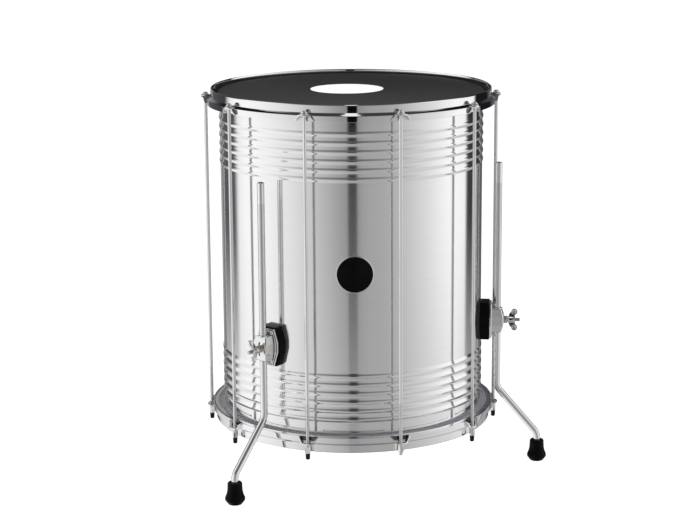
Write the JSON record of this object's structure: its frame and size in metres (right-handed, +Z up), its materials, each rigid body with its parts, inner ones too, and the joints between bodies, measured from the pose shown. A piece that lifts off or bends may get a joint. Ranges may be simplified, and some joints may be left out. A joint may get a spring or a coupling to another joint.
{
  "type": "surdo drum",
  "caption": "Deep cylindrical floor drum with a beaded metal shell, hoops and tension rods, standing on sliding bent legs in side clamps.",
  "frame": {"origin": "centre of the batter head's playing face", "axes": "+Z up along the shell's axis, out of the batter head; -Y is the front, where the badge is; +X is the right-hand side seen from the front"},
  "size_m": [0.6048, 0.6016, 0.6686],
  "materials": {
    "brushed_aluminium": "brushed round the shell, satin",
    "polished_steel": "polished and plated",
    "chrome": "bright chrome plate",
    "zinc_steel": "zinc plated, satin",
    "brass": "dull brass",
    "black_film": "matt coated film",
    "black_rubber": "matt moulded rubber",
    "black_plastic": "soft matt plastic",
    "badge_enamel": "glossy black enamel with a bright border"
  },
  "bodies": {
    "drum": {"shell": "brushed_aluminium", "batter_hoop": "polished_steel", "resonant_hoop": "polished_steel", "batter_head": "black_film", "resonant_head": "black_film", "badge": "badge_enamel", "tension_rod_1": "chrome", "tension_rod_2": "chrome", "rod_cap_2": "black_plastic", "tension_rod_3": "chrome", "rod_cap_3": "black_plastic", "tension_rod_4": "chrome", "rod_cap_4": "black_plastic", "tension_rod_5": "chrome", "rod_cap_5": "black_plastic", "tension_rod_6": "chrome", "rod_cap_6": "black_plastic", "tension_rod_7": "chrome", "rod_cap_7": "black_plastic", "tension_rod_8": "chrome", "rod_cap_8": "black_plastic", "tension_rod_9": "chrome", "rod_cap_9": "black_plastic", "tension_rod_10": "chrome", "rod_cap_10": "black_plastic", "clamp_gasket_left": "black_rubber", "clamp_housing_left": "chrome", "clamp_fixing_left": "zinc_steel", "clamp_eyebolt_left": "zinc_steel", "clamp_gasket_right": "black_rubber", "clamp_housing_right": "chrome", "clamp_fixing_right": "zinc_steel", "clamp_eyebolt_right": "zinc_steel", "clamp_gasket_rear": "black_rubber", "clamp_housing_rear": "chrome", "clamp_fixing_rear": "zinc_steel", "clamp_eyebolt_rear": "zinc_steel"},
    "tension_nut_1": {"tension_nut_1": "zinc_steel"},
    "tension_nut_2": {"tension_nut_2": "zinc_steel"},
    "tension_nut_3": {"tension_nut_3": "zinc_steel"},
    "tension_nut_4": {"tension_nut_4": "zinc_steel"},
    "tension_nut_5": {"tension_nut_5": "zinc_steel"},
    "tension_nut_6": {"tension_nut_6": "zinc_steel"},
    "tension_nut_7": {"tension_nut_7": "zinc_steel"},
    "tension_nut_8": {"tension_nut_8": "zinc_steel"},
    "tension_nut_9": {"tension_nut_9": "zinc_steel"},
    "tension_nut_10": {"tension_nut_10": "zinc_steel"},
    "leg_left": {"leg_tube_left": "chrome", "leg_foot_left": "black_rubber"},
    "washer_left": {"clamp_washer_left": "brass"},
    "wing_nut_left": {"wing_nut_left": "chrome"},
    "leg_right": {"leg_tube_right": "chrome", "leg_foot_right": "black_rubber"},
    "washer_right": {"clamp_washer_right": "brass"},
    "wing_nut_right": {"wing_nut_right": "chrome"},
    "leg_rear": {"leg_tube_rear": "chrome", "leg_foot_rear": "black_rubber"},
    "washer_rear": {"clamp_washer_rear": "brass"},
    "wing_nut_rear": {"wing_nut_rear": "chrome"}
  },
  "joints": [
    {"name": "tension_nut_1_turn", "type": "hinge", "parent": "drum", "child": "tension_nut_1", "pos_m": [0.07809, -0.24033, -0.5667], "axis": [0, 0, -1], "continuous": true},
    {"name": "tension_nut_2_turn", "type": "hinge", "parent": "drum", "child": "tension_nut_2", "pos_m": [0.20444, -0.14853, -0.5667], "axis": [0, 0, -1], "continuous": true},
    {"name": "tension_nut_3_turn", "type": "hinge", "parent": "drum", "child": "tension_nut_3", "pos_m": [0.2527, 0, -0.5667], "axis": [0, 0, -1], "continuous": true},
    {"name": "tension_nut_4_turn", "type": "hinge", "parent": "drum", "child": "tension_nut_4", "pos_m": [0.20444, 0.14853, -0.5667], "axis": [0, 0, -1], "continuous": true},
    {"name": "tension_nut_5_turn", "type": "hinge", "parent": "drum", "child": "tension_nut_5", "pos_m": [0.07809, 0.24033, -0.5667], "axis": [0, 0, -1], "continuous": true},
    {"name": "tension_nut_6_turn", "type": "hinge", "parent": "drum", "child": "tension_nut_6", "pos_m": [-0.07809, 0.24033, -0.5667], "axis": [0, 0, -1], "continuous": true},
    {"name": "tension_nut_7_turn", "type": "hinge", "parent": "drum", "child": "tension_nut_7", "pos_m": [-0.20444, 0.14853, -0.5667], "axis": [0, 0, -1], "continuous": true},
    {"name": "tension_nut_8_turn", "type": "hinge", "parent": "drum", "child": "tension_nut_8", "pos_m": [-0.2527, 0, -0.5667], "axis": [0, 0, -1], "continuous": true},
    {"name": "tension_nut_9_turn", "type": "hinge", "parent": "drum", "child": "tension_nut_9", "pos_m": [-0.20444, -0.14853, -0.5667], "axis": [0, 0, -1], "continuous": true},
    {"name": "tension_nut_10_turn", "type": "hinge", "parent": "drum", "child": "tension_nut_10", "pos_m": [-0.07809, -0.24033, -0.5667], "axis": [0, 0, -1], "continuous": true},
    {"name": "leg_left_slide", "type": "slide", "parent": "drum", "child": "leg_left", "axis": [0, 0, 1], "range_m": [-0.235, 0.075]},
    {"name": "washer_left_travel", "type": "slide", "parent": "drum", "child": "washer_left", "axis": [-0.5878, -0.809, 0], "range_m": [0, 0.0043]},
    {"name": "wing_nut_left_turn", "type": "hinge", "parent": "washer_left", "child": "wing_nut_left", "pos_m": [-0.16252, -0.22369, -0.407], "axis": [-0.5878, -0.809, 0], "range_deg": [0, 1530]},
    {"name": "leg_right_slide", "type": "slide", "parent": "drum", "child": "leg_right", "axis": [0, 0, 1], "range_m": [-0.235, 0.075]},
    {"name": "washer_right_travel", "type": "slide", "parent": "drum", "child": "washer_right", "axis": [0.9945, -0.1045, 0], "range_m": [0, 0.0043]},
    {"name": "wing_nut_right_turn", "type": "hinge", "parent": "washer_right", "child": "wing_nut_right", "pos_m": [0.27498, -0.0289, -0.407], "axis": [0.9945, -0.1045, 0], "range_deg": [0, 1530]},
    {"name": "leg_rear_slide", "type": "slide", "parent": "drum", "child": "leg_rear", "axis": [0, 0, 1], "range_m": [-0.235, 0.075]},
    {"name": "washer_rear_travel", "type": "slide", "parent": "drum", "child": "washer_rear", "axis": [-0.4067, 0.9135, 0], "range_m": [0, 0.0043]},
    {"name": "wing_nut_rear_turn", "type": "hinge", "parent": "washer_rear", "child": "wing_nut_rear", "pos_m": [-0.11246, 0.2526, -0.407], "axis": [-0.4067, 0.9135, 0], "range_deg": [0, 1530]}
  ],
  "couplings": [
    {"joint": "washer_left_travel", "follows": "wing_nut_left_turn", "m_per_rad": 0.00015915},
    {"joint": "washer_right_travel", "follows": "wing_nut_right_turn", "m_per_rad": 0.00015915},
    {"joint": "washer_rear_travel", "follows": "wing_nut_rear_turn", "m_per_rad": 0.00015915}
  ]
}
